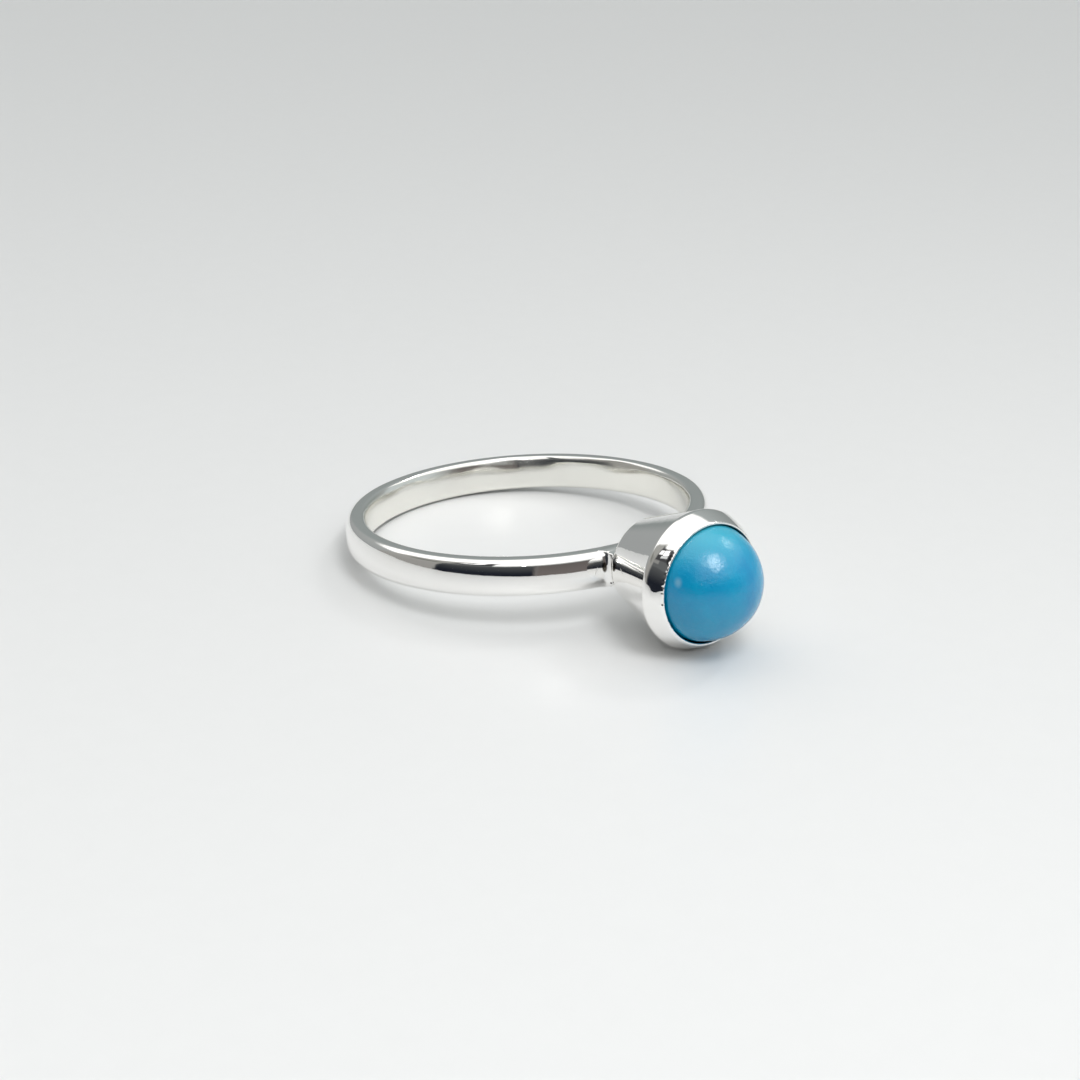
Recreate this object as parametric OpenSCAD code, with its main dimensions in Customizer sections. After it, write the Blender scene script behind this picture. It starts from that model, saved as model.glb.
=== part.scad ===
// Silver ring with a round turquoise cabochon in a tapered bezel cup.
// It lies on its side: z = 0 is the surface, and the stone points along -Y.

/* [Band] */
// Inner diameter, the finger size
finger_d = 17.4; // [15:0.1:21]
// Width of the band along the finger
band_w = 1.95; // [1.7:0.05:3]
// Thickness of the band at the middle of its width
band_t = 1.17; // [1:0.01:1.8]
// Rise of the low dome across the band's outside
dome_rise = 0.25; // [0.15:0.01:0.3]
// Radius of the band's outer edges
outer_edge_r = 0.42; // [0.3:0.01:0.5]
// Radius of the band's inner edges
inner_edge_r = 0.15; // [0.05:0.01:0.2]

/* [Bezel cup] */
// Diameter of the cup at its base, over the rounded edge
cup_base_d = 4.66; // [4:0.02:5.4]
// Diameter of the cup at its rim, over the rounded edge
cup_rim_d = 7.08; // [7:0.02:7.6]
// Height of the rim's widest line above the base
cup_h = 3.97; // [3.6:0.01:5]
// Height of the line where the lip meets the stone, above the rim's widest line
lip_rise = 0.9; // [0.75:0.01:1.1]
// Thickness of the cup's wall below the stone
wall_t = 0.6; // [0.5:0.05:0.7]
// Thickness of the plate that closes the cup's base
base_plate_t = 0.6; // [0.5:0.05:0.8]
// Radius of the cup's base edge
base_edge_r = 0.3; // [0.15:0.01:0.4]
// Radius of the cup's rim edge
rim_edge_r = 0.42; // [0.3:0.01:0.5]
// Radius of the lip that is rubbed over the stone
lip_r = 0.08; // [0.06:0.01:0.12]
// Length of the soldered seat between band and cup
seat_l = 4.3; // [3.6:0.1:4.4]

/* [Stone] */
// Diameter of the stone
stone_d = 6.0; // [5.9:0.02:6.1]
// Height of the stone's upright side below its dome
stone_side_h = 0.7; // [0.4:0.1:1]
// Height of the stone's dome
stone_dome_h = 3.35; // [2.6:0.05:3.6]
// Height of the top of the stone's upright side above the rim's widest line
girdle_rise = 0.1; // [0.05:0.01:0.2]
// Gap between stone and silver
stone_gap = 0.03; // [0.02:0.01:0.05]

/* [Hidden] */
$fn = 96;

// Straight steps that draw one rounded edge, and one dome
edge_steps = 6;
dome_steps = 20;

// Band section: x is the distance from the finger's axis, y the height along it
band_in_r = finger_d / 2;
band_out_r = band_in_r + band_t;
dome_r = (pow(band_w / 2, 2) + pow(dome_rise, 2)) / (2 * dome_rise);
dome_mid = [band_out_r - dome_r, 0];
outer_edge_y = band_w / 2 - outer_edge_r;
outer_edge_x = dome_mid.x + sqrt(pow(dome_r - outer_edge_r, 2) - pow(outer_edge_y, 2));
outer_edge_mid = [outer_edge_x, outer_edge_y];
inner_edge_mid = [band_in_r + inner_edge_r, band_w / 2 - inner_edge_r];
dome_half_a = atan2(outer_edge_y, outer_edge_x - dome_mid.x);

// The cup's flat base sinks this far into the band's outermost line
base_sink = 0.02;
base_reach = band_out_r - base_sink;
// The soldered seat is the band's section carried straight, this much further out
seat_rise = 0.4;

// Stone, as heights above the cup's base
stone_r = stone_d / 2;
girdle_y = cup_h + girdle_rise;
stone_base_y = girdle_y - stone_side_h;
stone_bevel = 0.1;

// Cup section: x is the distance from the stone's axis, y the height above the cup's base
base_edge_mid = [cup_base_d / 2 - base_edge_r, base_edge_r];
rim_edge_mid = [cup_rim_d / 2 - rim_edge_r, cup_h];
// Angle on the stone's dome at which the lip meets it
lip_touch_a = asin((lip_rise - girdle_rise) / (stone_dome_h + stone_gap));
lip_normal_a = atan2(sin(lip_touch_a) / stone_dome_h, cos(lip_touch_a) / stone_r);
lip_mid = dome_point(lip_touch_a, stone_gap) + lip_r * [cos(lip_normal_a), sin(lip_normal_a)];
wall_a = tangent_a(base_edge_mid, base_edge_r, rim_edge_mid, rim_edge_r);
shoulder_a = tangent_a(rim_edge_mid, rim_edge_r, lip_mid, lip_r);

// Rest: the far side of the band and the lowest point of the rim touch the surface
far_edge = [outer_edge_mid.x, -outer_edge_mid.y];
low_rim = [-(base_reach + rim_edge_mid.y), -rim_edge_mid.x];
rest_span = far_edge - low_rim;
rest_tilt = atan2(rest_span.y, rest_span.x) + asin((rim_edge_r - outer_edge_r) / norm(rest_span));
lift = outer_edge_r + far_edge.x * sin(rest_tilt) - far_edge.y * cos(rest_tilt);
// How far the stone reaches to the front and the band to the back when at rest
stone_reach = norm([stone_dome_h * cos(rest_tilt), stone_r * sin(rest_tilt)]);
front_reach = (base_reach + girdle_y) * cos(rest_tilt) + stone_reach;
back_reach = dome_mid.x * cos(rest_tilt) + dome_r;
centre_y = (front_reach - back_reach) / 2;

// Points of an arc round mid from angle a0 to a1; first and last leave out shared ends
function arc(mid, r, a0, a1, first = 0, last = edge_steps) =
    [for (i = [first:last]) let (a = a0 + (a1 - a0) * i / edge_steps) mid + r * [cos(a), sin(a)]];

// Angle of the outward normal of the line that touches circle a and then circle b
function tangent_a(mid_a, r_a, mid_b, r_b) =
    let (run = mid_b - mid_a) atan2(run.y, run.x) - acos((r_a - r_b) / norm(run));

// Point of the stone's dome at angle a from its girdle, grown by a gap
function dome_point(a, gap = 0) =
    [(stone_r + gap) * cos(a), girdle_y + (stone_dome_h + gap) * sin(a)];

// Radius of the hollow under the stone at a height, one wall inside the cup's outside
function hollow_r(y) =
    rim_edge_mid.x + (rim_edge_r - wall_t) / cos(wall_a) + (y - rim_edge_mid.y) * tan(-wall_a);

module band_section() {
    polygon(concat(
        arc(dome_mid, dome_r, -dome_half_a, dome_half_a),
        arc(outer_edge_mid, outer_edge_r, dome_half_a, 90, first = 1),
        arc(inner_edge_mid, inner_edge_r, 90, 180),
        arc([inner_edge_mid.x, -inner_edge_mid.y], inner_edge_r, 180, 270),
        arc([outer_edge_mid.x, -outer_edge_mid.y], outer_edge_r, 270, 360 - dome_half_a,
            last = edge_steps - 1)
    ));
}

module cup_section() {
    lip_bed = [for (i = [edge_steps - 1:-1:0]) dome_point(lip_touch_a * i / edge_steps, stone_gap)];
    polygon(concat(
        [[0, 0]],
        arc(base_edge_mid, base_edge_r, -90, wall_a),
        arc(rim_edge_mid, rim_edge_r, wall_a, shoulder_a),
        arc(lip_mid, lip_r, shoulder_a, lip_normal_a + 180),
        lip_bed,
        [
            [stone_r + stone_gap, stone_base_y - stone_gap],
            [hollow_r(stone_base_y), stone_base_y - stone_gap],
            [hollow_r(base_plate_t), base_plate_t],
            [0, base_plate_t]
        ]
    ));
}

module stone_section() {
    dome = [for (i = [0:dome_steps - 1]) dome_point(90 * i / dome_steps)];
    polygon(concat(
        [[0, stone_base_y], [stone_r - stone_bevel, stone_base_y]],
        [[stone_r, stone_base_y + stone_bevel]],
        dome,
        [[0, girdle_y + stone_dome_h]]
    ));
}

// Turns a section about the stone's axis, which runs from the band's outside along -Y
module on_stone_axis() {
    rotate([90, 0, 0]) translate([0, 0, base_reach]) rotate_extrude() children();
}

// Puts the upright ring down on its side, with the overall box centred on the origin
module lying() {
    translate([0, centre_y, lift]) rotate([-rest_tilt, 0, 0]) children();
}

module band() {
    rotate_extrude() band_section();
}

module soldered_seat() {
    translate([0, -seat_rise, 0]) rotate([90, 0, -90])
        linear_extrude(height = seat_l, center = true) band_section();
}

module bezel_cup() {
    on_stone_axis() cup_section();
}

module silver_band_and_bezel() {
    color("silver") lying() union() {
        band();
        soldered_seat();
        bezel_cup();
    }
}

module turquoise_stone() {
    color("#2a9cc8") lying() on_stone_axis() stone_section();
}

silver_band_and_bezel();
turquoise_stone();
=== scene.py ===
"""Looks of a silver ring with a round turquoise cabochon in a tapered bezel cup.

Sizes are in millimetres in the ring's own upright frame, as in the part's source: the
finger's axis is Z and the stone looks along -Y. The ring lies on its side, so each
finished mesh is tilted onto the floor and written in metres.
"""

import math

import bmesh
import bpy
import numpy as np
from mathutils import Matrix, Vector


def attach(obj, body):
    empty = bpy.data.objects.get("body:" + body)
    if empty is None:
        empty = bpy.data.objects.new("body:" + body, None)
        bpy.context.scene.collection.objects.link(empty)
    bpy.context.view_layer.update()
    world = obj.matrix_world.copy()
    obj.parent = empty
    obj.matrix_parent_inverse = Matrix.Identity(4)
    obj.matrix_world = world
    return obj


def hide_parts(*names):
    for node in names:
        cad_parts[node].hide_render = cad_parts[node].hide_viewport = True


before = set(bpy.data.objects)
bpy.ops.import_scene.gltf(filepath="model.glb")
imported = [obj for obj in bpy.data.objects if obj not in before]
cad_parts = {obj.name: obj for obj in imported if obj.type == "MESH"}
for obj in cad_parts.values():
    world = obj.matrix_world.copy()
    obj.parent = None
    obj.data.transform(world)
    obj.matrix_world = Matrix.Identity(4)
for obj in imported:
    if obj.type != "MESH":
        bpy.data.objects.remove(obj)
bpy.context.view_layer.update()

MM = 0.001

# Band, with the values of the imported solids
FINGER_D = 17.4
BAND_W = 1.95
BAND_T = 1.17
DOME_RISE = 0.25
OUTER_EDGE_R = 0.42

# Bezel cup
CUP_BASE_D = 4.66
CUP_RIM_D = 7.08
CUP_H = 3.97
LIP_RISE = 0.9
WALL_T = 0.6
BASE_PLATE_T = 0.6
BASE_EDGE_R = 0.3
RIM_EDGE_R = 0.42
LIP_R = 0.08
BASE_SINK = 0.02
SEAT_L = 4.3
SEAT_RISE = 0.4

# Stone
STONE_D = 6.0
STONE_SIDE_H = 0.7
STONE_DOME_H = 3.35
STONE_BEVEL = 0.1
GIRDLE_RISE = 0.1
STONE_GAP = 0.03

# Steps of the turned meshes: how many round, the longest along a section, how many up the
# dome and along the lip's bed, and the longest turn along an arc in radians
BAND_STEPS = 540
CUP_STEPS = 640
STONE_STEPS = 400
BAND_STEP = 0.13
CUP_STEP = 0.17
HOLLOW_STEP = 0.8
STONE_STEP = 0.4
DOME_STEPS = 72
BED_STEPS = 4
ARC_STEP = 0.2
# Points this near each other are one: where arcs and lines join, along a section, and in
# a turned mesh. TINY is next to nothing.
JOIN_GAP = 1e-6
POINT_GAP = 1e-5
WELD = 1e-4
TINY = 1e-9

# The crown of the band's dome was filed a little off the middle of its width, and its
# edge towards the floor is rounder than the upper one
CROWN_Y = -0.12
CROWN_R = 2.5
LOW_EDGE_R = 0.5

# The inner edges were rubbed round by hand. The upper one has a facet below its rounding:
# its slope in degrees, how far down the wall it starts, how much that wavers and over
# which lengths, and the width over which it runs into the wall
INNER_ROUND_R = 0.34
FACET_SLOPE = 16
FACET_START = 0.29
FACET_WAVE = 0.04
FACET_WAVE_L = (1.3, 3.6)
FACET_SOFT = 0.1
# It reaches further down in places: direction round the finger, half width, how far
FACET_PLACES = ((-26, 12, 0.3), (0, 10, 0.3), (14, 8, 0.2), (30, 9, 0.45), (44, 6, 0.3),
                (75, 9, 0.3))

# The shoulder between rim and lip is a little full, with this radius, and fuller at one
# spot: its place, its reach and its height
SHOULDER_R = 4.0
SPOT = (-3.34, -14.38, 0.04)
SPOT_W = 0.44
SPOT_RISE = 0.05

# Solder runs this far into the corners round the cup, and between band and seat. The seat
# lies this much inside the band's section, and its block starts at this share of the
# band's width, so that no two faces lie on each other.
SOLDER_RUN = 0.13
SEAT_SOLDER_RUN = 0.34
SEAT_INSET = 0.12
SEAT_SHARE = 0.985
# The joint's triangles are fine in a block of this half length and half width, up to the
# first distance from it, and thin out to the second. First, points and slivers below
# these sizes go, and then each round halves the edges that are longer than its length.
JOINT_HALF_L = 2.2
JOINT_HALF_W = 1.0
JOINT_REACH = (0.35, 0.9)
JOINT_WELD = 0.004
JOINT_SLIVER = 0.001
JOINT_EDGES = (0.16, 0.09)
# In one round, a point moves this far at most towards a surface, and a slope's square
# counts as this at least, so that a flat stretch throws no point away
DRAWN_REACH = 0.1
LEAST_STEEP = 0.25

# Hand polishing leaves the surfaces this wavy, over waves of this length
POLISH_WAVE = 0.0028
POLISH_WAVE_L = (2.4, 5.5)

# The lip's mouth stands this far off the stone, and this much further where the lip was
# rubbed hard, out to this far from it
MOUTH_GAP = 0.04
MOUTH_OPEN = 0.045
MOUTH_RUN = 0.3
# The burnisher left the lip's edge this uneven where it was rubbed lightly and where
# hard, over this far down the shoulder
LIP_WAVE = 0.002
LIP_WAVE_HARD = 0.005
LIP_WAVE_RUN = 0.06
# How many waves go round, the share of each, and how often its length drifts on the way.
# Each starts this far on from the one before, in radians, and drifts by this much.
LIP_WAVES = ((34, 1.0, 3), (57, 0.8, 5), (83, 0.7, 7), (121, 0.4, 9))
LIP_WAVE_START = 2.1
LIP_WAVE_DRIFT = 1.7
# The hard-rubbed part in degrees: its direction round the stone, where 0 is up and -90 is
# towards -X, half its width, and how far it fades to each side of that
LIP_HARD_AT = -125
LIP_HARD_HALF = 58
LIP_HARD_FADE = 20

# The inner wall's satin ends between these depths into the band. The dark grey shade
# painted in the lip's mouth, which stands for the shadowed gap round the stone, ends between
# these distances off the stone's dome, and begins between these depths below the girdle.
SATIN_TO = (0.05, 0.25)
MOUTH_SHADE_TO = (0.08, 0.13)
MOUTH_SHADE_FROM = (0.4, 0.2)

# The camera, in millimetres and degrees in the row's frame. Azimuths go from +Y to +X.
CAMERA_AIM = (0.274, 2.895, 0.968)
CAMERA_AZIMUTH = -141.93
CAMERA_ELEVATION = 23.505
CAMERA_ROLL = 1.0036
CAMERA_DISTANCE = 107.42
CAMERA_FOCAL = 65.8425
CAMERA_CLIP = (2, 10000)
SENSOR = 36.0


def colour(code):
    """An sRGB hex colour as linear RGBA."""
    channels = [int(code[i:i + 2], 16) / 255 for i in (1, 3, 5)]
    return (*[c / 12.92 if c <= 0.04045 else ((c + 0.055) / 1.055) ** 2.4
              for c in channels], 1.0)


def add(tree, kind, inputs=None, **settings):
    """Adds one node. settings are its properties, and inputs gives its sockets a value or
    a link."""
    node = tree.nodes.new(kind)
    for name, value in settings.items():
        setattr(node, name, value)
    for name, value in (inputs or {}).items():
        socket = node.inputs[name]
        if isinstance(value, bpy.types.NodeSocket):
            tree.links.new(value, socket)
        else:
            socket.default_value = value
    return node


# Sections. A section is a list of arcs and lines round a solid, counterclockwise, with x
# from the turning axis and y along it.

def arc(mid, r, a0, a1):
    return ("arc", np.array(mid), r, math.radians(a0), math.radians(a1))


def line(a, b):
    return ("line", np.array(a), np.array(b))


def arc_end(piece, last):
    a = piece[4] if last else piece[3]
    return piece[1] + piece[2] * np.array([math.cos(a), math.sin(a)])


def joined(pieces, closed):
    """Fills in the straight lines between arcs that follow each other."""
    ends = [(p[1], p[2]) if p[0] == "line" else (arc_end(p, False), arc_end(p, True))
            for p in pieces]
    out = []
    for i, piece in enumerate(pieces):
        out.append(piece)
        nxt = i + 1 if i + 1 < len(pieces) else (0 if closed else None)
        if nxt is not None and np.linalg.norm(ends[nxt][0] - ends[i][1]) > JOIN_GAP:
            out.append(line(ends[i][1], ends[nxt][0]))
    return out


def points_along(section, step):
    """Points along a section, no further apart than step, and closer round small arcs."""
    points = []
    for piece in section:
        if piece[0] == "arc":
            _, mid, r, a0, a1 = piece
            count = max(math.ceil(abs(a1 - a0) / ARC_STEP), math.ceil(r * abs(a1 - a0) / step))
            turn = a0 + (a1 - a0) * np.arange(count + 1) / count
            points.append(mid + r * np.stack([np.cos(turn), np.sin(turn)], 1))
        else:
            _, a, b = piece
            count = max(1, math.ceil(np.linalg.norm(b - a) / step))
            points.append(a + (b - a) * np.linspace(0, 1, count + 1)[:, None])
    points = np.concatenate(points)
    apart = np.linalg.norm(np.diff(points, axis=0), axis=1) > POINT_GAP
    return points[np.concatenate([[True], apart])]


def distance_to(section, at):
    """Signed distance of points from a section's outline, negative inside."""
    nearest = np.full(len(at), np.inf)
    signed = np.zeros(len(at))
    for piece in section:
        if piece[0] == "arc":
            _, mid, r, a0, a1 = piece
            from_mid = at - mid
            middle, half = (a0 + a1) / 2, abs(a1 - a0) / 2
            off = np.arctan2(from_mid[:, 1], from_mid[:, 0]) - middle
            off = np.clip((off + math.pi) % (2 * math.pi) - math.pi, -half, half)
            outward = np.stack([np.cos(middle + off), np.sin(middle + off)], 1)
            foot = mid + r * outward
        else:
            _, a, b = piece
            run = b - a
            share = np.clip((at - a) @ run / (run @ run), 0, 1)
            foot = a + share[:, None] * run
            outward = np.array([run[1], -run[0]]) / np.linalg.norm(run)
        gap = at - foot
        away = np.linalg.norm(gap, axis=1)
        side = np.where((gap * outward).sum(1) < 0, -1.0, 1.0)
        closer = away < nearest - TINY
        nearest = np.where(closer, away, nearest)
        signed = np.where(closer, side * away, signed)
    return signed


def tangent_angle(mid_a, r_a, mid_b, r_b):
    """Angle of the outward normal of the line that touches circle a and then circle b."""
    run = np.subtract(mid_b, mid_a)
    lean = math.acos((r_a - r_b) / np.linalg.norm(run))
    return math.degrees(math.atan2(run[1], run[0]) - lean)


def on_dome(a, gap=0.0):
    """Point of the stone's dome at angle a from its girdle, grown by a gap."""
    a = math.radians(a)
    return np.array([(STONE_R + gap) * math.cos(a),
                     GIRDLE_Y + (STONE_DOME_H + gap) * math.sin(a)])


BAND_IN_R = FINGER_D / 2
BAND_OUT_R = BAND_IN_R + BAND_T
BASE_REACH = BAND_OUT_R - BASE_SINK
STONE_R = STONE_D / 2
GIRDLE_Y = CUP_H + GIRDLE_RISE
STONE_BASE_Y = GIRDLE_Y - STONE_SIDE_H

dome_r = ((BAND_W / 2) ** 2 + DOME_RISE ** 2) / (2 * DOME_RISE)
dome_x = BAND_OUT_R - dome_r
outer_y = BAND_W / 2 - OUTER_EDGE_R
outer_x = dome_x + math.sqrt((dome_r - OUTER_EDGE_R) ** 2 - outer_y ** 2)
inner_x, inner_y = BAND_IN_R + INNER_ROUND_R, BAND_W / 2 - INNER_ROUND_R


def edge_beside_crown(y, r):
    """Middle of the edge arc at height y that touches the crown's arc, and its angle."""
    x = math.sqrt((CROWN_R - r) ** 2 - (y - CROWN_Y) ** 2)
    return (BAND_OUT_R - CROWN_R + x, y), math.degrees(math.atan2(y - CROWN_Y, x))


high_edge, high_a = edge_beside_crown(outer_y, OUTER_EDGE_R)
low_edge, low_a = edge_beside_crown(LOW_EDGE_R - BAND_W / 2, LOW_EDGE_R)
BAND_SECTION = joined([
    arc((BAND_OUT_R - CROWN_R, CROWN_Y), CROWN_R, low_a, high_a),
    arc(high_edge, OUTER_EDGE_R, high_a, 90),
    arc((inner_x, inner_y), INNER_ROUND_R, 90, 180),
    arc((inner_x, -inner_y), INNER_ROUND_R, 180, 270),
    arc(low_edge, LOW_EDGE_R, 270, 360 + low_a),
], closed=True)

base_edge_mid = (CUP_BASE_D / 2 - BASE_EDGE_R, BASE_EDGE_R)
rim_edge_mid = (CUP_RIM_D / 2 - RIM_EDGE_R, CUP_H)
lip_touch_a = math.degrees(math.asin((LIP_RISE - GIRDLE_RISE) / (STONE_DOME_H + STONE_GAP)))
lip_normal_a = math.degrees(math.atan2(math.sin(math.radians(lip_touch_a)) / STONE_DOME_H,
                                       math.cos(math.radians(lip_touch_a)) / STONE_R))
lip_mid = on_dome(lip_touch_a, MOUTH_GAP) + LIP_R * np.array(
    [math.cos(math.radians(lip_normal_a)), math.sin(math.radians(lip_normal_a))])
wall_a = tangent_angle(base_edge_mid, BASE_EDGE_R, rim_edge_mid, RIM_EDGE_R)


def shoulder_arc():
    """Middle of the shoulder's arc, which runs on from the rim's arc into the lip's, and
    the two angles where it meets them."""
    run = lip_mid - rim_edge_mid
    apart = np.linalg.norm(run)
    from_rim, from_lip = SHOULDER_R - RIM_EDGE_R, SHOULDER_R - LIP_R
    along = (from_rim ** 2 - from_lip ** 2 + apart ** 2) / (2 * apart)
    aside = math.sqrt(from_rim ** 2 - along ** 2)
    run = run / apart
    mid = rim_edge_mid + along * run + aside * np.array([-run[1], run[0]])
    return mid, *[math.degrees(math.atan2(*(end - mid)[::-1]))
                  for end in (np.array(rim_edge_mid), lip_mid)]


shoulder_mid, shoulder_low_a, shoulder_high_a = shoulder_arc()


def hollow_r(y):
    """Radius of the hollow under the stone at a height, one wall inside the outside."""
    wall = math.radians(wall_a)
    return (rim_edge_mid[0] + (RIM_EDGE_R - WALL_T) / math.cos(wall)
            - (y - CUP_H) * math.tan(wall))


lip_bed = [on_dome(lip_touch_a * i / BED_STEPS,
                   STONE_GAP + (MOUTH_GAP - STONE_GAP) * (i / BED_STEPS) ** 2)
           for i in range(BED_STEPS, -1, -1)]
CUP_SECTION = joined([
    line((0, 0), (base_edge_mid[0], 0)),
    arc(base_edge_mid, BASE_EDGE_R, -90, wall_a),
    arc(rim_edge_mid, RIM_EDGE_R, wall_a, shoulder_low_a),
    arc(shoulder_mid, SHOULDER_R, shoulder_low_a, shoulder_high_a),
    arc(lip_mid, LIP_R, shoulder_high_a, lip_normal_a + 180),
    *[line(a, b) for a, b in zip(lip_bed, lip_bed[1:])],
], closed=False)
# What the stone hides, which needs few steps: its seat, the bearing and the hollow
bearing_y = STONE_BASE_Y - STONE_GAP
hollow_corners = [lip_bed[-1], (STONE_R + STONE_GAP, bearing_y),
                  (hollow_r(STONE_BASE_Y), bearing_y),
                  (hollow_r(BASE_PLATE_T), BASE_PLATE_T), (0, BASE_PLATE_T)]
CUP_HOLLOW = [line(a, b) for a, b in zip(hollow_corners, hollow_corners[1:])]

# How the ring lies: the far side of the band and the lowest point of the rim touch down
rest_span = np.array([outer_x + BASE_REACH + CUP_H, -outer_y + rim_edge_mid[0]])
rest_tilt = (math.atan2(rest_span[1], rest_span[0])
             + math.asin((RIM_EDGE_R - OUTER_EDGE_R) / np.linalg.norm(rest_span)))
lift = OUTER_EDGE_R + outer_x * math.sin(rest_tilt) + outer_y * math.cos(rest_tilt)
stone_reach = math.hypot(STONE_DOME_H * math.cos(rest_tilt), STONE_R * math.sin(rest_tilt))
front_reach = (BASE_REACH + GIRDLE_Y) * math.cos(rest_tilt) + stone_reach
back_reach = dome_x * math.cos(rest_tilt) + dome_r
centre_y = (front_reach - back_reach) / 2
LYING = (Matrix.Translation(Vector((0, centre_y, lift)) * MM)
         @ Matrix.Rotation(-rest_tilt, 4, "X") @ Matrix.Scale(MM, 4))


# Turning a section round its axis, as a Geometry Nodes tree

def turning_tree():
    tree = bpy.data.node_groups.new("turned section", "GeometryNodeTree")
    for name, kind in (("Section", "NodeSocketGeometry"), ("Steps round", "NodeSocketInt"),
                       ("Path radius", "NodeSocketFloat"), ("Weld distance", "NodeSocketFloat"),
                       ("Place", "NodeSocketVector"), ("Turn", "NodeSocketRotation"),
                       ("Finish", "NodeSocketMaterial")):
        tree.interface.new_socket(name, in_out="INPUT", socket_type=kind)
    tree.interface.new_socket("Solid", in_out="OUTPUT", socket_type="NodeSocketGeometry")
    given = add(tree, "NodeGroupInput").outputs
    section = add(tree, "GeometryNodeMeshToCurve", {"Mesh": given["Section"]})
    path = add(tree, "GeometryNodeCurvePrimitiveCircle", {
        "Resolution": given["Steps round"], "Radius": given["Path radius"]})
    swept = add(tree, "GeometryNodeCurveToMesh", {
        "Curve": path.outputs["Curve"], "Profile Curve": section.outputs["Curve"]})
    welded = add(tree, "GeometryNodeMergeByDistance", {
        "Geometry": swept.outputs["Mesh"], "Distance": given["Weld distance"]})
    placed = add(tree, "GeometryNodeTransform", {
        "Geometry": welded.outputs["Geometry"], "Translation": given["Place"],
        "Rotation": given["Turn"]})
    smooth = add(tree, "GeometryNodeSetShadeSmooth", {"Geometry": placed.outputs["Geometry"]})
    real = add(tree, "GeometryNodeRealizeInstances", {"Geometry": smooth.outputs["Geometry"]})
    done = add(tree, "GeometryNodeSetMaterial", {
        "Geometry": real.outputs["Geometry"], "Material": given["Finish"]})
    add(tree, "NodeGroupOutput", {"Solid": done.outputs["Geometry"]})
    return tree


def mesh_object(name, mesh):
    obj = bpy.data.objects.new(name, mesh)
    bpy.context.scene.collection.objects.link(obj)
    return obj


def evaluated(obj):
    """The object's mesh with its modifiers worked out, as a plain mesh."""
    graph = bpy.context.evaluated_depsgraph_get()
    return bpy.data.meshes.new_from_object(obj.evaluated_get(graph))


def turned(name, points, closed, steps, finish, place=(0, 0, 0), turn=(0, 0, 0)):
    """A solid turned from a section's points. The tree runs on the section as a mesh of
    edges, measured from the sweep's path."""
    path_r = float(points[:, 0].mean())
    count = len(points)
    edges = [(i, i + 1) for i in range(count - 1)] + ([(count - 1, 0)] if closed else [])
    mesh = bpy.data.meshes.new(name + " section")
    mesh.from_pydata([(x - path_r, y, 0) for x, y in points], edges, [])
    obj = mesh_object(name, mesh)
    modifier = obj.modifiers.new("turned section", "NODES")
    modifier.node_group = TURNING
    sockets = {s.name: s.identifier for s in TURNING.interface.items_tree}
    for socket, value in (("Steps round", steps), ("Path radius", path_r),
                          ("Weld distance", WELD), ("Place", place), ("Turn", turn),
                          ("Finish", finish)):
        modifier[sockets[socket]] = value
    obj.data = evaluated(obj)
    obj.modifiers.clear()
    bpy.data.meshes.remove(mesh)
    return obj


def positions(mesh):
    flat = np.zeros(len(mesh.vertices) * 3, np.float32)
    mesh.vertices.foreach_get("co", flat)
    return flat.reshape(-1, 3).astype(float)


def smooth_rise(value, low, high):
    """0 below low and 1 above high, smooth between."""
    share = np.clip((value - low) / (high - low), 0, 1)
    return share * share * (3 - 2 * share)


def gradient(field, at, step=0.002):
    """The slope of a field at points, taken over a step in mm to each side."""
    grown = []
    for axis in np.eye(3) * step:
        grown.append((field(at + axis) - field(at - axis)) / (2 * step))
    return np.stack(grown, 1)


def drawn_onto(field, at, rounds=4):
    """Points moved onto the surface where a field is zero."""
    for _ in range(rounds):
        slope = gradient(field, at)
        steep = np.maximum((slope * slope).sum(1), LEAST_STEEP)
        reach = np.clip(field(at) / steep, -DRAWN_REACH, DRAWN_REACH)
        at = at - reach[:, None] * slope
    return at


# Silver

def waves(seed, count, lengths):
    """Random straight waves: their directions with lengths, and their starts."""
    draw = np.random.default_rng(seed)
    ways = draw.normal(size=(count, 3))
    ways /= np.linalg.norm(ways, axis=1)[:, None]
    return (ways * (2 * math.pi / draw.uniform(*lengths, count))[:, None],
            draw.uniform(0, 2 * math.pi, count))


def wavy(at, pattern):
    """How high the waves stand at points, as a share of their height."""
    ways, starts = pattern
    return np.sin(at @ ways.T + starts).sum(1) / math.sqrt(len(starts))


POLISH = waves(seed=5, count=7, lengths=POLISH_WAVE_L)
FACET = waves(seed=8, count=9, lengths=FACET_WAVE_L)


def round_stone(at):
    """Radius from the stone's axis, height above the cup's base and turn from the top."""
    return (np.hypot(at[:, 0], at[:, 2]), -at[:, 1] - BASE_REACH,
            np.arctan2(at[:, 0], at[:, 2]))


def rubbed_hard(turn):
    """How hard the lip was rubbed, from 0 to 1."""
    off = (turn - math.radians(LIP_HARD_AT) + math.pi) % (2 * math.pi) - math.pi
    return 1 - smooth_rise(np.abs(off), math.radians(LIP_HARD_HALF - LIP_HARD_FADE),
                           math.radians(LIP_HARD_HALF + LIP_HARD_FADE))


def run_together(one, other, run):
    """The nearer of two distances, with a hollow of solder where they are alike."""
    blend = np.clip(1 - np.abs(one - other) / run, 0, 1)
    return np.minimum(one, other) - blend ** 2 * run / 4


def facet(at, band_r):
    """Signed distance from the facet rubbed on the band's upper inner edge."""
    start = FACET_START + FACET_WAVE * wavy(at, FACET)
    way = np.degrees(np.arctan2(at[:, 0], at[:, 1]))
    for middle, half, more in FACET_PLACES:
        start = start + more * np.exp(-((way - middle) / half) ** 2)
    slope = math.radians(FACET_SLOPE)
    return ((BAND_IN_R - band_r) * math.cos(slope)
            + (at[:, 2] - BAND_W / 2 + start) * math.sin(slope))


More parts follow.
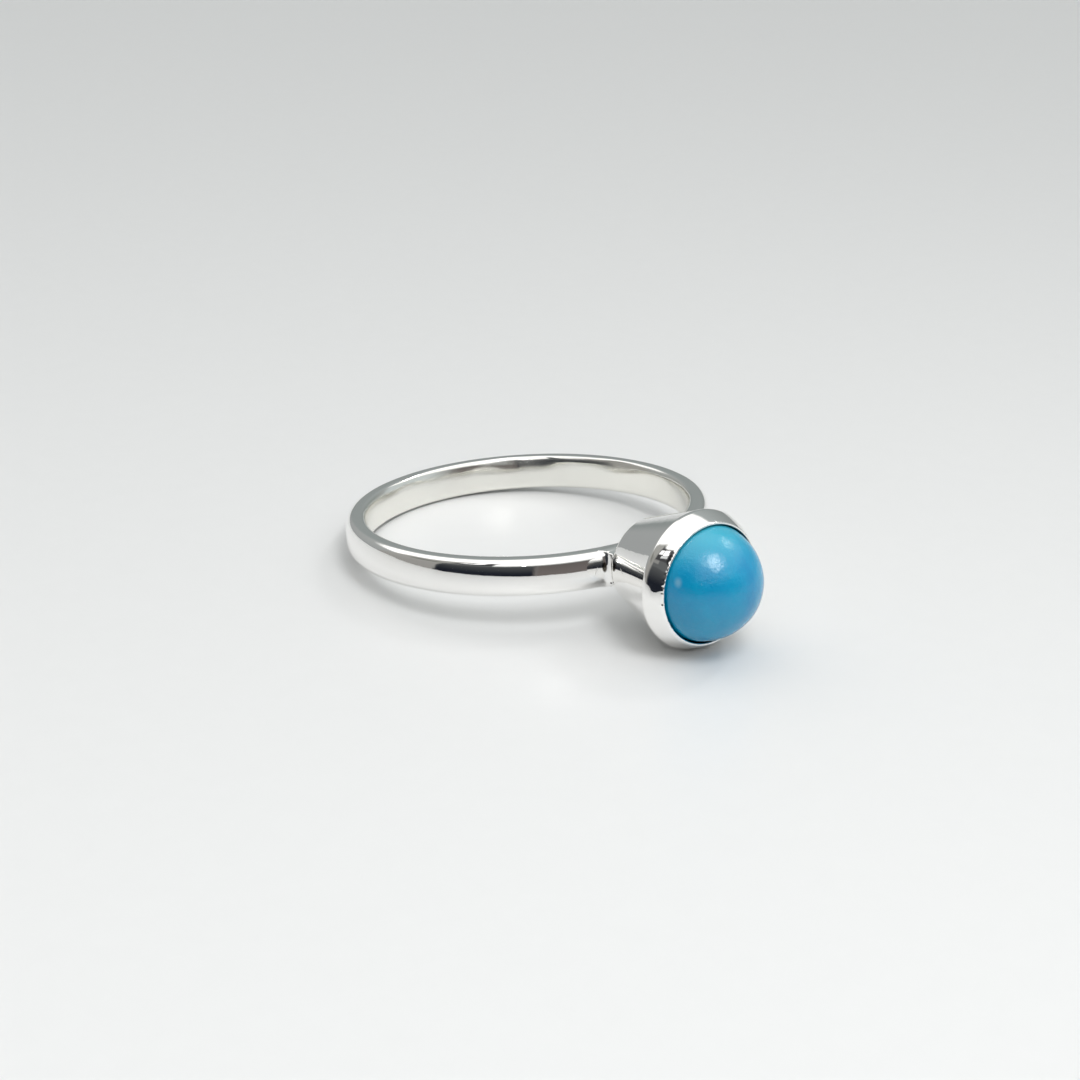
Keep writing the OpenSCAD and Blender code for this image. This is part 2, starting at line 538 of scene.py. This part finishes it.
def silver(at):
    """Signed distance from the silver: band and cup run together in solder, the band's
    upper inner edge has its facet, the lip stands open and uneven, and the whole surface
    carries the polisher's waves."""
    r, y, turn = round_stone(at)
    hard = rubbed_hard(turn)
    from_lip = np.hypot(r - lip_mid[0], y - lip_mid[1])
    near_lip = np.exp(-((from_lip - LIP_R) / LIP_WAVE_RUN) ** 2)
    uneven = sum(share * np.sin(count * turn + LIP_WAVE_START * i
                                + LIP_WAVE_DRIFT * np.sin(drifts * turn))
                 for i, (count, share, drifts) in enumerate(LIP_WAVES))
    edge = near_lip * (LIP_WAVE + (LIP_WAVE_HARD - LIP_WAVE) * hard) * uneven
    opened = MOUTH_OPEN * hard * np.exp(-(from_lip / MOUTH_RUN) ** 2)
    cup = distance_to(CUP_SECTION + CUP_HOLLOW, np.stack([r - opened, y - edge], 1))
    band_r = np.hypot(at[:, 0], at[:, 1])
    band = distance_to(BAND_SECTION, np.stack([band_r, at[:, 2]], 1))
    band = -run_together(-band, -facet(at, band_r), FACET_SOFT)
    straight = distance_to(BAND_SECTION, np.stack([-at[:, 1] - SEAT_RISE, at[:, 2]], 1))
    seat = np.maximum(straight + SEAT_INSET, np.abs(at[:, 0]) - SEAT_L / 2)
    whole = run_together(run_together(band, seat, SEAT_SOLDER_RUN), cup, SOLDER_RUN)
    spot = SPOT_RISE * np.exp(-((at - SPOT) ** 2).sum(1) / SPOT_W ** 2)
    return whole - POLISH_WAVE * wavy(at, POLISH) - spot


def seat_block(name):
    """The seat between band and cup: the band's section carried straight along X."""
    section = points_along(BAND_SECTION, BAND_STEP)[:-1]
    count = len(section)
    section = section * (1, SEAT_SHARE) + (SEAT_RISE, 0)
    ends = [[(side * SEAT_L / 2, -x, y) for x, y in section] for side in (-1, 1)]
    faces = [(i, (i + 1) % count, count + (i + 1) % count, count + i) for i in range(count)]
    faces += [tuple(range(count)), tuple(range(2 * count - 1, count - 1, -1))]
    mesh = bpy.data.meshes.new(name)
    mesh.from_pydata(ends[0] + ends[1], [], faces)
    build = bmesh.new()
    build.from_mesh(mesh)
    bmesh.ops.recalc_face_normals(build, faces=build.faces)
    build.to_mesh(mesh)
    build.free()
    return mesh_object(name, mesh)


def near_joint(at):
    """1 in the corner between band and cup, falling to 0 away from it."""
    apart = (np.maximum(np.abs(at[:, 0]) - JOINT_HALF_L, 0)
             + np.maximum(np.abs(at[:, 2]) - JOINT_HALF_W, 0))
    apart += np.abs(at[:, 1] + BASE_REACH)
    return 1 - smooth_rise(apart, *JOINT_REACH)


def joint_triangulated(build):
    """Cuts the joint's faces into triangles, and says which points lie near the joint."""
    at = np.array([v.co for v in build.verts])
    inside = near_joint(at) > 0
    faces = [f for f in build.faces if any(inside[v.index] for v in f.verts)]
    bmesh.ops.triangulate(build, faces=faces)
    build.verts.index_update()
    return inside


def joint_refined(mesh):
    """Cuts the joint's triangles small enough to carry the solder's hollow."""
    build = bmesh.new()
    build.from_mesh(mesh)
    bmesh.ops.remove_doubles(build, verts=build.verts, dist=JOINT_WELD)
    bmesh.ops.dissolve_degenerate(build, edges=build.edges, dist=JOINT_SLIVER)
    for longest in JOINT_EDGES:
        inside = joint_triangulated(build)
        edges = [e for e in build.edges
                 if inside[e.verts[0].index] and inside[e.verts[1].index]
                 and e.calc_length() > longest]
        bmesh.ops.subdivide_edges(build, edges=edges, cuts=1)
        build.verts.index_update()
    joint_triangulated(build)
    # Two faces on the same corners are a fold with nothing in it
    first, folds = {}, []
    for face in build.faces:
        other = first.setdefault(frozenset(face.verts), face)
        if other is not face:
            folds += [other, face]
    bmesh.ops.delete(build, geom=folds, context="FACES")
    build.to_mesh(mesh)
    build.free()


def relaxed(mesh, field, share, rounds=8):
    """Moves a mesh onto the surface, with its triangles evened out where share is above 0."""
    at = drawn_onto(field, positions(mesh), rounds=2)
    ends = np.zeros(len(mesh.edges) * 2, np.int32)
    mesh.edges.foreach_get("vertices", ends)
    ends = ends.reshape(-1, 2)
    near = share(at)
    ends = ends[(near[ends] > 0).any(1)]
    some = np.flatnonzero(near > 0)
    for _ in range(rounds):
        total, count = np.zeros_like(at), np.zeros(len(at))
        for a, b in (ends.T, ends.T[::-1]):
            np.add.at(total, a, at[b])
            np.add.at(count, a, 1)
        middle = total[some] / np.maximum(count[some], 1)[:, None]
        # Half way to the middle of its neighbours
        moved = at[some] + 0.5 * near[some, None] * (middle - at[some])
        at[some] = drawn_onto(field, moved, rounds=1)
    at[some] = drawn_onto(field, at[some], rounds=3)
    return at


def finished(name, obj, at, normals, slot, replaced, **attributes):
    """Writes a piece's mesh in its place on the floor, with exact normals, hangs the piece
    under its body and hides the solid that it replaces. The slot is not used."""
    mesh = obj.data
    mesh.vertices.foreach_set("co", at.astype(np.float32).ravel())
    for key, values in attributes.items():
        layer = mesh.attributes.new(key, "FLOAT", "POINT")
        layer.data.foreach_set("value", values.astype(np.float32))
    mesh.transform(LYING)
    mesh.update()
    way = np.array(LYING.to_3x3().normalized())
    normals = normals @ way.T
    normals /= np.maximum(np.linalg.norm(normals, axis=1), TINY)[:, None]
    mesh.normals_split_custom_set_from_vertices(normals.tolist())
    obj.name = mesh.name = name
    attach(obj, "root")
    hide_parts(replaced)
    return obj


def make_silver(finish):
    band = turned("band", points_along(BAND_SECTION, BAND_STEP)[:-1], True, BAND_STEPS, finish)
    cup_points = np.concatenate([points_along(CUP_SECTION, CUP_STEP),
                                 points_along(CUP_HOLLOW, HOLLOW_STEP)[1:]])
    cup = turned("cup", cup_points, False, CUP_STEPS, finish,
                 place=(0, -BASE_REACH, 0), turn=(-math.pi / 2, 0, 0))
    seat = seat_block("seat")
    seat.data.materials.append(finish)
    for other in (seat, cup):
        modifier = band.modifiers.new("soldered", "BOOLEAN")
        modifier.operation, modifier.solver, modifier.object = "UNION", "MANIFOLD", other
    whole = evaluated(band)
    band.modifiers.clear()
    band.data = whole
    for other in (seat, cup):
        bpy.data.objects.remove(other)
    joint_refined(whole)
    at = relaxed(whole, silver, near_joint)
    normals = gradient(silver, at)
    r, y, _ = round_stone(at)
    from_finger = np.hypot(at[:, 0], at[:, 1])
    inner = 1 - smooth_rise(from_finger, *[BAND_IN_R + depth for depth in SATIN_TO])
    above = np.maximum(y - GIRDLE_Y, 0)
    off_dome = STONE_R * (np.hypot(r / STONE_R, above / STONE_DOME_H) - 1)
    # Where the lip's mouth is painted dark grey, as shade for the gap round the stone
    mouth = ((1 - smooth_rise(off_dome, *MOUTH_SHADE_TO))
             * smooth_rise(y, *[GIRDLE_Y - depth for depth in MOUTH_SHADE_FROM]))
    return finished("silver_ring_and_bezel", band, at, normals, "polished_silver",
                    "silver_band_and_bezel", inner_wall=inner, mouth=mouth,
                    solder=near_joint(at))


# Stone

STONE_SECTION = joined([
    line((0, STONE_BASE_Y), (STONE_R - STONE_BEVEL, STONE_BASE_Y)),
    line((STONE_R - STONE_BEVEL, STONE_BASE_Y), (STONE_R, STONE_BASE_Y + STONE_BEVEL)),
    line((STONE_R, STONE_BASE_Y + STONE_BEVEL), (STONE_R, GIRDLE_Y)),
], closed=False)
# The lap left waves this high and this long. They begin between these heights above the
# girdle, and lie this many of their heights low, which keeps the stone near its size.
STONE_WAVE = 0.004
STONE_WAVE_L = (0.8, 2.2)
STONE_WAVE_FROM = (0.3, 1.0)
STONE_WAVE_SINK = 1.6
STONE_GRIND = waves(seed=11, count=9, lengths=STONE_WAVE_L)
# A point this far below the girdle belongs to the stone's straight side or its base
SIDE_MARGIN = 1e-3


def make_stone(finish):
    dome = np.array([on_dome(90 * i / DOME_STEPS) for i in range(1, DOME_STEPS + 1)])
    dome[-1, 0] = 0
    points = np.concatenate([points_along(STONE_SECTION, STONE_STEP), dome])
    stone = turned("stone", points, False, STONE_STEPS, finish,
                   place=(0, -BASE_REACH, 0), turn=(-math.pi / 2, 0, 0))
    at = positions(stone.data)

    def ground(at):
        """The dome's implicit form in mm, with the lap's faint waves on it."""
        r, y, _ = round_stone(at)
        up = np.maximum(y - GIRDLE_Y, 0)
        scaled = np.sqrt((r / STONE_R) ** 2 + (up / STONE_DOME_H) ** 2)
        return STONE_R * (scaled - 1) - STONE_WAVE * wavy(at, STONE_GRIND)

    r, y, _ = round_stone(at)
    wave_start, wave_full = [GIRDLE_Y + height for height in STONE_WAVE_FROM]
    on_top = y > wave_start
    normals = gradient(ground, at)
    sunk = STONE_WAVE * (wavy(at, STONE_GRIND) - STONE_WAVE_SINK)
    at[on_top] += (normals * (sunk * smooth_rise(y, wave_start, wave_full))[:, None])[on_top]
    low = y < GIRDLE_Y - SIDE_MARGIN
    flat = np.array([v.normal for v in stone.data.vertices])
    normals[low] = flat[low]
    return finished("turquoise_cabochon", stone, at, normals, "turquoise", "turquoise_stone")


# Materials. Patterns read the ring's own upright frame in millimetres.

def upright_mm(tree):
    place = add(tree, "ShaderNodeTexCoord")
    return add(tree, "ShaderNodeMapping", {
        "Vector": place.outputs["Object"], "Location": (0, centre_y * MM, lift * MM),
        "Rotation": (-rest_tilt, 0, 0), "Scale": (MM, MM, MM)},
        vector_type="TEXTURE").outputs["Vector"]


def new_material(name):
    material = bpy.data.materials.new(name)
    material.use_nodes = True
    material.node_tree.nodes.clear()
    return material, material.node_tree


def mark_on(tree, mm, place, size, lean, core=0.6):
    """Share of a small mark: 1 in the core of an ellipsoid that leans in the plane of the
    band's outside, and 0 round it."""
    at = add(tree, "ShaderNodeMapping", {
        "Vector": mm, "Location": place, "Rotation": (0, math.radians(lean), 0),
        "Scale": size}, vector_type="TEXTURE")
    off = add(tree, "ShaderNodeVectorMath", {0: at.outputs[0]}, operation="LENGTH")
    return add(tree, "ShaderNodeMapRange", {
        "Value": off.outputs["Value"], "From Min": core, "From Max": 1.0,
        "To Min": 1.0, "To Max": 0.0}, interpolation_type="SMOOTHSTEP").outputs[0]


# Marks in the silver: place, half sizes, lean in degrees, colour, and roughness. The two
# pits and the notch in the corner have no hollow in the mesh: their dark colour is painted
# shade. The scratch is the silver's own wear.
SILVER_MARKS = (
    ("painted shade of a pit beside the solder", (-2.15, -9.66, -0.66), (0.07, 0.2, 0.08), 0, "#3C3936", 0.5),
    ("painted shade of a pit in the rim", (-3.1, -14.75, -0.25), (0.09, 0.09, 0.09), 0, "#4A4744", 0.5),
    ("scratch across the band", (-2.85, -9.45, 0.05), (0.03, 0.2, 0.27), 23, "#F4F3F0", 0.6),
    ("painted shade of a notch in the corner", (-2.41, -9.55, 0.2), (0.15, 0.2, 0.34), 0, "#5E5A52", 0.1),
)


def hand_polished_silver():
    """Sterling silver, cast, soldered and buffed by hand. Outside it is a clean mirror
    with a breath of haze. The inner wall is softer. The lip's mouth carries painted shade, a
    dark grey for the shadowed gap round the stone, and dark painted shade marks two pits and
    a notch."""
    material, tree = new_material("hand polished sterling silver")
    mm = upright_mm(tree)
    inner = add(tree, "ShaderNodeAttribute", attribute_name="inner_wall").outputs["Fac"]
    mouth = add(tree, "ShaderNodeAttribute", attribute_name="mouth").outputs["Fac"]
    solder = add(tree, "ShaderNodeAttribute", attribute_name="solder").outputs["Fac"]

    # Buffing haze in clouds about 1 mm across
    haze = add(tree, "ShaderNodeTexNoise", {"Vector": mm, "Scale": 1.0, "Detail": 3.0,
                                            "Roughness": 0.6})
    # Wear of the inner wall in patches about 1.5 mm across
    worn = add(tree, "ShaderNodeTexNoise", {"Vector": mm, "Scale": 0.7, "Detail": 3.0,
                                            "Roughness": 0.6})
    polished = add(tree, "ShaderNodeMapRange", {
        "Value": haze.outputs["Fac"], "From Min": 0.3, "From Max": 0.7,
        "To Min": 0.02, "To Max": 0.06})
    softer = add(tree, "ShaderNodeMapRange", {
        "Value": worn.outputs["Fac"], "From Min": 0.35, "From Max": 0.65,
        "To Min": 0.13, "To Max": 0.25})
    gloss = add(tree, "ShaderNodeMix", {0: inner, "A": polished.outputs[0],
                                        "B": softer.outputs[0]}, data_type="FLOAT")
    # Solder takes a little less polish than the silver
    rough = add(tree, "ShaderNodeMath", {0: solder, 1: 0.04, 2: gloss.outputs[0]},
                operation="MULTIPLY_ADD").outputs[0]

    # The inner wall is a shade warmer, and the lip's mouth is painted a dark grey: painted
    # shade for the shadowed gap round the stone
    body = add(tree, "ShaderNodeMix", {"Factor": inner, "A": colour("#FBFAF8"),
                                       "B": colour("#F5F4EE")}, data_type="RGBA")
    mouth_shade_share = add(tree, "ShaderNodeMath", {0: mouth, 1: 0.85}, operation="MULTIPLY")
    body = add(tree, "ShaderNodeMix", {"Factor": mouth_shade_share.outputs[0],
                                       "A": body.outputs["Result"],
                                       "B": colour("#45413E")}, data_type="RGBA")
    # Painted shade for the pits and the notch, and the scratch's own duller finish
    for name, place, size, lean, shade_and_scratch_colour, dull in SILVER_MARKS:
        share = mark_on(tree, mm, place, size, lean)
        body = add(tree, "ShaderNodeMix", {"Factor": share, "A": body.outputs["Result"],
                                           "B": colour(shade_and_scratch_colour)}, data_type="RGBA", label=name)
        rough = add(tree, "ShaderNodeMix", {0: share, "A": rough, "B": dull},
                    data_type="FLOAT").outputs[0]

    # Heights in mm: the inner wall's wear, and outside the buff's ripples, 0.6 mm long,
    # which fray the edges of what the silver mirrors
    ripple = add(tree, "ShaderNodeTexNoise", {"Vector": mm, "Scale": 1.7, "Detail": 2.0,
                                              "Roughness": 0.5})
    wear = add(tree, "ShaderNodeMath", {0: worn.outputs["Fac"], 1: 0.012},
               operation="MULTIPLY")
    buffed = add(tree, "ShaderNodeMath", {0: ripple.outputs["Fac"], 1: 0.0035},
                 operation="MULTIPLY")
    height = add(tree, "ShaderNodeMix", {0: inner, "A": buffed.outputs[0],
                                         "B": wear.outputs[0]}, data_type="FLOAT")
    uneven = add(tree, "ShaderNodeBump", {"Height": height.outputs[0], "Strength": 1.0,
                                          "Distance": MM})
    surface = add(tree, "ShaderNodeBsdfPrincipled", {
        "Base Color": body.outputs["Result"], "Metallic": 1.0,
        "Roughness": rough, "Normal": uneven.outputs["Normal"]})
    add(tree, "ShaderNodeOutputMaterial", {"Surface": surface.outputs["BSDF"]})
    return material


# A painted reflection: a pale spot painted on the stone near the lip, with its place, half
# sizes and strength
PALE_REFLECTION_AT = (-2.57, -15.32, 0.87)
PALE_REFLECTION_SIZE = (0.24, 0.3, 0.38)
PALE_REFLECTION_SHARE = 0.4


def polished_turquoise():
    """Turquoise, ground to a high dome and waxed. An opaque sky blue in soft clouds, with
    fine paler grain and a gloss that breaks up a little in the highlight. Its upper edge
    carries painted light, a paler blue, and a pale spot near the lip is a painted reflection."""
    material, tree = new_material("polished sky blue turquoise")
    mm = upright_mm(tree)
    # Clouds 2 to 3 mm across, and grain of 0.2 mm
    clouds = add(tree, "ShaderNodeTexNoise", {"Vector": mm, "Scale": 0.42, "Detail": 3.0,
                                              "Roughness": 0.55, "Distortion": 0.6})
    grain = add(tree, "ShaderNodeTexNoise", {"Vector": mm, "Scale": 5.0, "Detail": 3.0,
                                             "Roughness": 0.7})
    share = add(tree, "ShaderNodeMapRange", {"Value": clouds.outputs["Fac"],
                                             "From Min": 0.35, "From Max": 0.65})
    body = add(tree, "ShaderNodeMix", {"Factor": share.outputs[0], "A": colour("#008ABC"),
                                       "B": colour("#0098C4")}, data_type="RGBA")
    # Painted light: the stone is painted paler towards the edge that lies up, where the ceiling
    # lights it and mirrors in it, from 1.2 to 3 mm above its axis
    split = add(tree, "ShaderNodeSeparateXYZ", {"Vector": mm})
    painted_top_light = add(tree, "ShaderNodeMapRange", {
        "Value": split.outputs["Z"], "From Min": 1.2, "From Max": 3.0},
        interpolation_type="SMOOTHSTEP")
    body = add(tree, "ShaderNodeMix", {"Factor": painted_top_light.outputs[0],
                                       "A": body.outputs["Result"],
                                       "B": colour("#3CACC6")}, data_type="RGBA")
    pale = add(tree, "ShaderNodeMapRange", {"Value": grain.outputs["Fac"],
                                            "From Min": 0.5, "From Max": 0.8,
                                            "To Max": 0.3})
    body = add(tree, "ShaderNodeMix", {"Factor": pale.outputs[0],
                                       "A": body.outputs["Result"],
                                       "B": colour("#18A4D0")}, data_type="RGBA")
    # Painted reflection: the pale spot near the lip
    pale_reflection = add(tree, "ShaderNodeMath", {
        0: mark_on(tree, mm, PALE_REFLECTION_AT, PALE_REFLECTION_SIZE, lean=0, core=0.0), 1: PALE_REFLECTION_SHARE},
        operation="MULTIPLY")
    body = add(tree, "ShaderNodeMix", {"Factor": pale_reflection.outputs[0],
                                       "A": body.outputs["Result"],
                                       "B": colour("#A8CBD8")}, data_type="RGBA")
    rough = add(tree, "ShaderNodeMapRange", {"Value": grain.outputs["Fac"],
                                             "From Min": 0.3, "From Max": 0.7,
                                             "To Min": 0.14, "To Max": 0.22})
    # Lap marks in the wax skin, up to 0.028 mm high, mottled over 0.3 mm with finer specks
    skin = add(tree, "ShaderNodeTexNoise", {"Vector": mm, "Scale": 3.2, "Detail": 4.0,
                                            "Roughness": 0.7})
    lapped = add(tree, "ShaderNodeBump", {"Height": skin.outputs["Fac"], "Strength": 1.0,
                                          "Distance": 0.028 * MM})
    surface = add(tree, "ShaderNodeBsdfPrincipled", {
        "Base Color": body.outputs["Result"], "Roughness": rough.outputs[0],
        "IOR": 1.61, "Normal": lapped.outputs["Normal"]})
    add(tree, "ShaderNodeOutputMaterial", {"Surface": surface.outputs["BSDF"]})
    return material


def satin_white_laminate():
    """The table: white laminate with a satin skin, so that it takes soft shadows and
    greys towards its far end, where it mirrors the room."""
    material, tree = new_material("satin white laminate")
    place = add(tree, "ShaderNodeTexCoord")
    # Print grain of the board, 1.5 mm
    grain = add(tree, "ShaderNodeTexNoise", {"Vector": place.outputs["Object"],
                                             "Scale": 1 / (1.5 * MM), "Detail": 2.0})
    body = add(tree, "ShaderNodeMix", {"Factor": grain.outputs["Fac"], "A": colour("#DFE0E0"),
                                       "B": colour("#E1E2E2")}, data_type="RGBA")
    surface = add(tree, "ShaderNodeBsdfPrincipled", {
        "Base Color": body.outputs["Result"], "Roughness": 0.36})
    add(tree, "ShaderNodeOutputMaterial", {"Surface": surface.outputs["BSDF"]})
    return material


# The room, as the silver mirrors it. Each patch of it: azimuth of its middle, half its
# width, the softness of its sides, the elevations of its lower and top edges, how far both
# climb for each degree of azimuth, the softness of both, its colours at the foot of the
# walls and at its own top, and its brightness. All angles are in degrees.

CEILING = "#FFFFFE"
CEILING_BRIGHT = 1.18
WALL_FOOT = 5.0
ROOM = (
    ("grey wall all round", 0, 180, 1, -90, 30, 0, 8, "#9C9F9F", "#A4A7A6", 1),
    ("pale board on the right", 122, 26, 16, -90, 28, 0, 6, "#C2CACD", "#C8CED0", 1),
    ("grey board behind", 50, 32, 12, -90, 50, 0, 6, "#8B9190", "#A8AEAE", 1),
    ("pale foot of that board", 42, 20, 8, -90, 2, 0, 4, "#B8BCBB", "#B8BCBB", 1),
    ("grey board on the left", -62, 24, 6, -90, 51, -0.45, 6, "#969592", "#A6A6A2", 1),
    ("darker shelf on it", -66, 13, 8, 26, 37, 0, 5, "#7E7F7A", "#7E7F7A", 1),
    ("upper curtain", -100, 17, 3, -90, 50, 0.5, 5, "#606263", "#606263", 1),
    ("ledge on the curtain", -87, 5, 2, 30.5, 36.5, 0, 2, "#8A8A88", "#8A8A88", 1),
    ("dark curtain", -115.5, 31.5, 3, -90, 25, 0, 3, "#1E2129", "#525455", 1),
    ("brown front", -173, 27, 5, -90, 24, 0, 3, "#6C6664", "#625D5B", 1),
    ("dark frame", -98, 14.5, 2, 37, 56, -0.15, 2, "#464648", "#464648", 1),
    ("dark post", -108.5, 4, 2, 36, 50, 0, 2, "#28282A", "#28282A", 1),
    ("light strip, left", -88, 3.6, 1, 44, 50.5, -0.3, 1, "#FFFFFF", "#FFFFFF", 1.2),
    ("light strip, right", -98, 5, 1, 46, 53.5, -0.3, 1, "#FFFFFF", "#FFFFFF", 2),
    ("sill", -96.5, 6, 1, 41, 45, -0.3, 1, "#DCDEDE", "#DCDEDE", 1),
    ("small lamp", 86, 4, 2, 43, 50, 0, 2, "#FFFFFF", "#FFFFFF", 20),
    ("pin light", -138, 1.2, 1, 29, 31, 0, 1, "#FFFFFF", "#FFFFFF", 16),
)


def light_the_room():
    world = bpy.data.worlds.new("room")
    bpy.context.scene.world = world
    world.use_nodes = True
    tree = world.node_tree
    tree.nodes.clear()
    way = add(tree, "ShaderNodeSeparateXYZ", {
        "Vector": add(tree, "ShaderNodeTexCoord").outputs["Generated"]})
    turn = add(tree, "ShaderNodeMath", {0: way.outputs["X"], 1: way.outputs["Y"]},
               operation="ARCTAN2")
    azimuth = add(tree, "ShaderNodeMath", {0: turn.outputs[0]}, operation="DEGREES")
    rise = add(tree, "ShaderNodeMath", {0: way.outputs["Z"]}, operation="ARCSINE")
    elevation = add(tree, "ShaderNodeMath", {0: rise.outputs[0]}, operation="DEGREES")
    seen = [c * CEILING_BRIGHT for c in colour(CEILING)]
    for name, middle, half, side, bottom, top, climb, soft, low, high, bright in ROOM:
        off = add(tree, "ShaderNodeMath", {0: azimuth.outputs[0], 1: middle},
                  operation="SUBTRACT")
        off = add(tree, "ShaderNodeMath", {0: off.outputs[0], 1: -180.0, 2: 180.0},
                  operation="WRAP")
        away = add(tree, "ShaderNodeMath", {0: off.outputs[0]}, operation="ABSOLUTE")
        wide = add(tree, "ShaderNodeMapRange", {
            "Value": away.outputs[0], "From Min": half - side / 2, "From Max": half + side / 2,
            "To Min": 1.0, "To Max": 0.0}, interpolation_type="SMOOTHSTEP")
        level = add(tree, "ShaderNodeMath", {0: off.outputs[0], 1: -climb,
                                             2: elevation.outputs[0]},
                    operation="MULTIPLY_ADD")
        tall = add(tree, "ShaderNodeMapRange", {
            "Value": level.outputs[0], "From Min": top - soft / 2, "From Max": top + soft / 2,
            "To Min": 1.0, "To Max": 0.0}, interpolation_type="SMOOTHSTEP")
        above = add(tree, "ShaderNodeMapRange", {
            "Value": level.outputs[0], "From Min": bottom - soft / 2,
            "From Max": bottom + soft / 2}, interpolation_type="SMOOTHSTEP")
        upright = add(tree, "ShaderNodeMath", {0: tall.outputs[0], 1: above.outputs[0]},
                      operation="MULTIPLY")
        share = add(tree, "ShaderNodeMath", {0: wide.outputs[0], 1: upright.outputs[0]},
                    operation="MULTIPLY")
        up = add(tree, "ShaderNodeMapRange", {
            "Value": level.outputs[0], "From Min": WALL_FOOT, "From Max": float(top)})
        wall = add(tree, "ShaderNodeMix", {
            "Factor": up.outputs[0],
            "A": [c * bright for c in colour(low)], "B": [c * bright for c in colour(high)]},
            data_type="RGBA")
        seen = add(tree, "ShaderNodeMix", {"Factor": share.outputs[0], "A": seen,
                                           "B": wall.outputs["Result"]}, data_type="RGBA",
                   label=name).outputs["Result"]
    # What the camera sees past the table's far edge is a plain pale backdrop
    ray = add(tree, "ShaderNodeLightPath")
    shown = add(tree, "ShaderNodeMix", {"Factor": ray.outputs["Is Camera Ray"], "A": seen,
                                        "B": colour("#C6C8C7")}, data_type="RGBA")
    lit = add(tree, "ShaderNodeBackground", {"Color": shown.outputs["Result"]})
    add(tree, "ShaderNodeOutputWorld", {"Surface": lit.outputs["Background"]})


def towards(azimuth, elevation):
    """The direction at an azimuth from +Y to +X and an elevation, in degrees."""
    a, e = math.radians(azimuth), math.radians(elevation)
    return Vector((math.sin(a) * math.cos(e), math.cos(a) * math.cos(e), math.sin(e)))


# The lamp, high on the camera's side: direction and distance from the stone, diameter and
# watts
LAMP_AZIMUTH = -169
LAMP_ELEVATION = 62.5
LAMP_DISTANCE = 160
LAMP_D = 62
LAMP_POWER = 0.095


def hang_lamp():
    data = bpy.data.lights.new("lamp above the camera", "AREA")
    data.shape, data.size, data.energy = "DISK", LAMP_D * MM, LAMP_POWER
    lamp = bpy.data.objects.new("lamp above the camera", data)
    bpy.context.scene.collection.objects.link(lamp)
    way = towards(LAMP_AZIMUTH, LAMP_ELEVATION)
    stone = LYING @ Vector((0, -(BASE_REACH + GIRDLE_Y), 0))
    lamp.matrix_world = (Matrix.Translation(stone + way * LAMP_DISTANCE * MM)
                         @ way.to_track_quat("Z", "Y").to_matrix().to_4x4())


TABLE_R = 1500
TABLE_SIDES = 96


def lay_table(finish):
    build = bmesh.new()
    bmesh.ops.create_circle(build, cap_ends=True, radius=TABLE_R * MM, segments=TABLE_SIDES)
    mesh = bpy.data.meshes.new("table")
    build.to_mesh(mesh)
    build.free()
    mesh.materials.append(finish)
    mesh_object("table", mesh)


def set_camera():
    data = bpy.data.cameras.new("camera")
    data.lens, data.sensor_width = CAMERA_FOCAL, SENSOR
    data.clip_start, data.clip_end = [reach * MM for reach in CAMERA_CLIP]
    camera = bpy.data.objects.new("camera", data)
    bpy.context.scene.collection.objects.link(camera)
    back = towards(CAMERA_AZIMUTH, CAMERA_ELEVATION)
    level = Vector((0, 0, 1)).cross(back).normalized()
    rise = back.cross(level)
    roll = math.radians(CAMERA_ROLL)
    right = level * math.cos(roll) + rise * math.sin(roll)
    axes = Matrix((right, back.cross(right), back)).transposed().to_4x4()
    aim = Vector(CAMERA_AIM) * MM
    camera.matrix_world = Matrix.Translation(aim + back * CAMERA_DISTANCE * MM) @ axes
    bpy.context.scene.camera = camera


TURNING = turning_tree()
make_silver(hand_polished_silver())
make_stone(polished_turquoise())
lay_table(satin_white_laminate())
light_the_room()
hang_lamp()
set_camera()
bpy.context.scene.view_settings.view_transform = "Standard"
